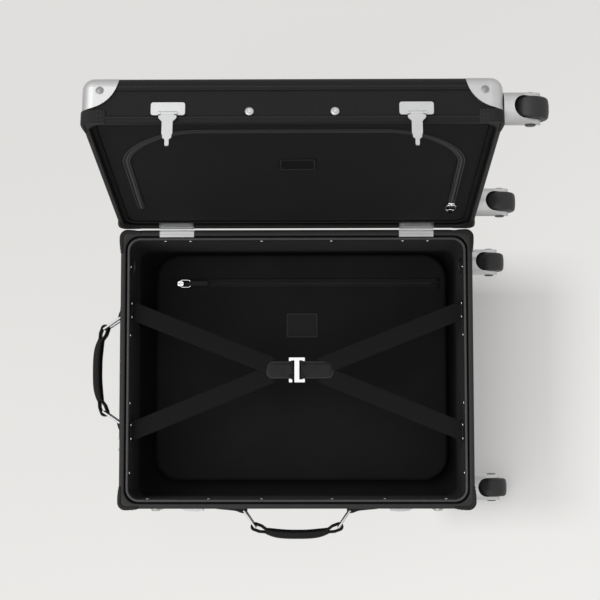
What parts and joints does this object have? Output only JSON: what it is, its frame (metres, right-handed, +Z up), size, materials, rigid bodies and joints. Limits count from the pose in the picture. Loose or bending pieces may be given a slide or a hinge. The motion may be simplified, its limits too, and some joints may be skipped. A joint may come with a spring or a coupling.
{
  "type": "rolling suitcase",
  "caption": "Trunk-style cabin case lying open on its back: black leather shells, metal corner caps, hasps, carry handles, cross straps, telescopic trolley and swivel casters.",
  "frame": {"origin": "on the floor under the middle of the base half, which lies on its back", "axes": "+X towards the caster end, +Y towards the hinges, +Z up out of the open base"},
  "size_m": [0.5936, 0.5616, 0.5455],
  "materials": {
    "leather": "black grained leather, satin",
    "lining": "black twill lining, matt",
    "webbing": "black woven webbing, matt",
    "bead": "dark grey bead, satin",
    "fitting": "satin nickel-plated metal",
    "clasp": "bright nickel-plated metal",
    "tube": "anodised aluminium, satin",
    "swivel": "black nylon, matt",
    "tyre": "black elastomer, satin"
  },
  "bodies": {
    "base": {"base_shell": "leather", "base_lining": "lining", "base_rim_binding": "leather", "base_rim_bead": "bead", "base_edge_binding": "leather", "base_corner_caps": "fitting", "base_rim_corners": "leather", "base_rivets": "fitting", "trolley_cover": "lining", "pocket_zip": "lining", "housing_tubes": "tube", "trolley_bezel": "leather", "strap_bands": "webbing", "strap_tabs": "leather", "strap_hook": "clasp", "handle_chapes": "leather", "side_feet": "fitting", "latch_catches": "fitting", "hinge_base_leaves": "fitting", "base_caster_plates": "swivel"},
    "lid": {"lid_shell": "leather", "lid_lining": "lining", "lid_divider": "lining", "lid_zip": "lining", "lid_rim_binding": "leather", "lid_edge_binding": "leather", "lid_corner_caps": "fitting", "lid_rim_corners": "leather", "lid_studs": "fitting", "hasp_plates": "fitting", "hinge_lid_leaves": "fitting", "lid_caster_plates": "swivel"},
    "hasp_left": {"hasp_left": "fitting"},
    "hasp_right": {"hasp_right": "fitting"},
    "latch_button_left": {"latch_button_left": "fitting"},
    "latch_button_right": {"latch_button_right": "fitting"},
    "trolley_middle": {"middle_tubes": "tube"},
    "trolley_inner": {"inner_tubes": "tube", "trolley_grip": "leather"},
    "trolley_button": {"trolley_button": "fitting"},
    "pocket_slider": {"pocket_slider": "fitting"},
    "front_ring_left": {"front_ring_left": "fitting"},
    "front_ring_right": {"front_ring_right": "fitting"},
    "front_grip": {"front_grip": "leather"},
    "end_ring_left": {"end_ring_left": "fitting"},
    "end_ring_right": {"end_ring_right": "fitting"},
    "end_grip": {"end_grip": "leather"},
    "base_back_fork": {"base_back_fork": "fitting", "base_back_axle": "swivel"},
    "base_back_wheel": {"base_back_wheel": "tyre"},
    "base_front_fork": {"base_front_fork": "fitting", "base_front_axle": "swivel"},
    "base_front_wheel": {"base_front_wheel": "tyre"},
    "lid_back_fork": {"lid_back_fork": "fitting", "lid_back_axle": "swivel"},
    "lid_back_wheel": {"lid_back_wheel": "tyre"},
    "lid_front_fork": {"lid_front_fork": "fitting", "lid_front_axle": "swivel"},
    "lid_front_wheel": {"lid_front_wheel": "tyre"}
  },
  "joints": [
    {"name": "lid_hinge", "type": "hinge", "parent": "base", "child": "lid", "pos_m": [0, 0.19545, 0.15], "axis": [1, 0, 0], "range_deg": [0, 100.8]},
    {"name": "hasp_left_hinge", "type": "hinge", "parent": "lid", "child": "hasp_left", "pos_m": [-0.145, 0.27925, 0.5338], "axis": [1, 0, 0], "range_deg": [-130, 4]},
    {"name": "latch_left_press", "type": "slide", "parent": "base", "child": "latch_button_left", "axis": [0, 1, 0], "range_m": [0, 0.0025], "stiffness_N_per_m": 600},
    {"name": "hasp_right_hinge", "type": "hinge", "parent": "lid", "child": "hasp_right", "pos_m": [0.145, 0.27925, 0.5338], "axis": [1, 0, 0], "range_deg": [-130, 4]},
    {"name": "latch_right_press", "type": "slide", "parent": "base", "child": "latch_button_right", "axis": [0, 1, 0], "range_m": [0, 0.0025], "stiffness_N_per_m": 600},
    {"name": "trolley_lower_slide", "type": "slide", "parent": "base", "child": "trolley_middle", "axis": [-1, 0, 0], "range_m": [0, 0.225]},
    {"name": "trolley_upper_slide", "type": "slide", "parent": "trolley_middle", "child": "trolley_inner", "axis": [-1, 0, 0], "range_m": [0, 0.225]},
    {"name": "trolley_button_press", "type": "slide", "parent": "trolley_inner", "child": "trolley_button", "axis": [1, 0, 0], "range_m": [0, 0.003], "stiffness_N_per_m": 600},
    {"name": "pocket_zip_slide", "type": "slide", "parent": "base", "child": "pocket_slider", "axis": [1, 0, 0], "range_m": [0, 0.355]},
    {"name": "front_grip_slide", "type": "slide", "parent": "base", "child": "front_grip", "axis": [0, 1, 0], "range_m": [0, 0.01]},
    {"name": "front_ring_left_hinge", "type": "hinge", "parent": "base", "child": "front_ring_left", "pos_m": [-0.074, -0.19745, 0.102], "axis": [0, 0, 1], "range_deg": [0, 22.25]},
    {"name": "front_ring_right_hinge", "type": "hinge", "parent": "base", "child": "front_ring_right", "pos_m": [0.074, -0.19745, 0.102], "axis": [0, 0, -1], "range_deg": [0, 22.25]},
    {"name": "end_grip_slide", "type": "slide", "parent": "base", "child": "end_grip", "axis": [1, 0, 0], "range_m": [0, 0.01]},
    {"name": "end_ring_left_hinge", "type": "hinge", "parent": "base", "child": "end_ring_left", "pos_m": [-0.2502, 0.074, 0.102], "axis": [0, 0, 1], "range_deg": [0, 22.25]},
    {"name": "end_ring_right_hinge", "type": "hinge", "parent": "base", "child": "end_ring_right", "pos_m": [-0.2502, -0.074, 0.102], "axis": [0, 0, -1], "range_deg": [0, 22.25]},
    {"name": "base_back_swivel", "type": "hinge", "parent": "base", "child": "base_back_fork", "pos_m": [0.246, 0.162, 0.035], "axis": [1, 0, 0], "continuous": true},
    {"name": "base_back_roll", "type": "hinge", "parent": "base_back_fork", "child": "base_back_wheel", "pos_m": [0.282, 0.162, 0.027], "axis": [0, 1, 0], "continuous": true},
    {"name": "base_front_swivel", "type": "hinge", "parent": "base", "child": "base_front_fork", "pos_m": [0.246, -0.167, 0.035], "axis": [1, 0, 0], "continuous": true},
    {"name": "base_front_roll", "type": "hinge", "parent": "base_front_fork", "child": "base_front_wheel", "pos_m": [0.282, -0.167, 0.027], "axis": [0, 1, 0], "continuous": true},
    {"name": "lid_back_swivel", "type": "hinge", "parent": "lid", "child": "lid_back_fork", "pos_m": [0.246, 0.22922, 0.17761], "axis": [1, 0, 0], "continuous": true},
    {"name": "lid_back_roll", "type": "hinge", "parent": "lid_back_fork", "child": "lid_back_wheel", "pos_m": [0.282, 0.22922, 0.16961], "axis": [0, 1, 0], "continuous": true},
    {"name": "lid_front_swivel", "type": "hinge", "parent": "lid", "child": "lid_front_fork", "pos_m": [0.246, 0.29087, 0.50078], "axis": [1, 0, 0], "continuous": true},
    {"name": "lid_front_roll", "type": "hinge", "parent": "lid_front_fork", "child": "lid_front_wheel", "pos_m": [0.282, 0.29087, 0.49278], "axis": [0, 1, 0], "continuous": true}
  ],
  "couplings": [
    {"joint": "front_ring_left_hinge", "follows": "front_grip_slide", "rad_per_m": 37.969},
    {"joint": "front_ring_right_hinge", "follows": "front_grip_slide", "rad_per_m": 37.969},
    {"joint": "end_ring_left_hinge", "follows": "end_grip_slide", "rad_per_m": 37.969},
    {"joint": "end_ring_right_hinge", "follows": "end_grip_slide", "rad_per_m": 37.969}
  ]
}
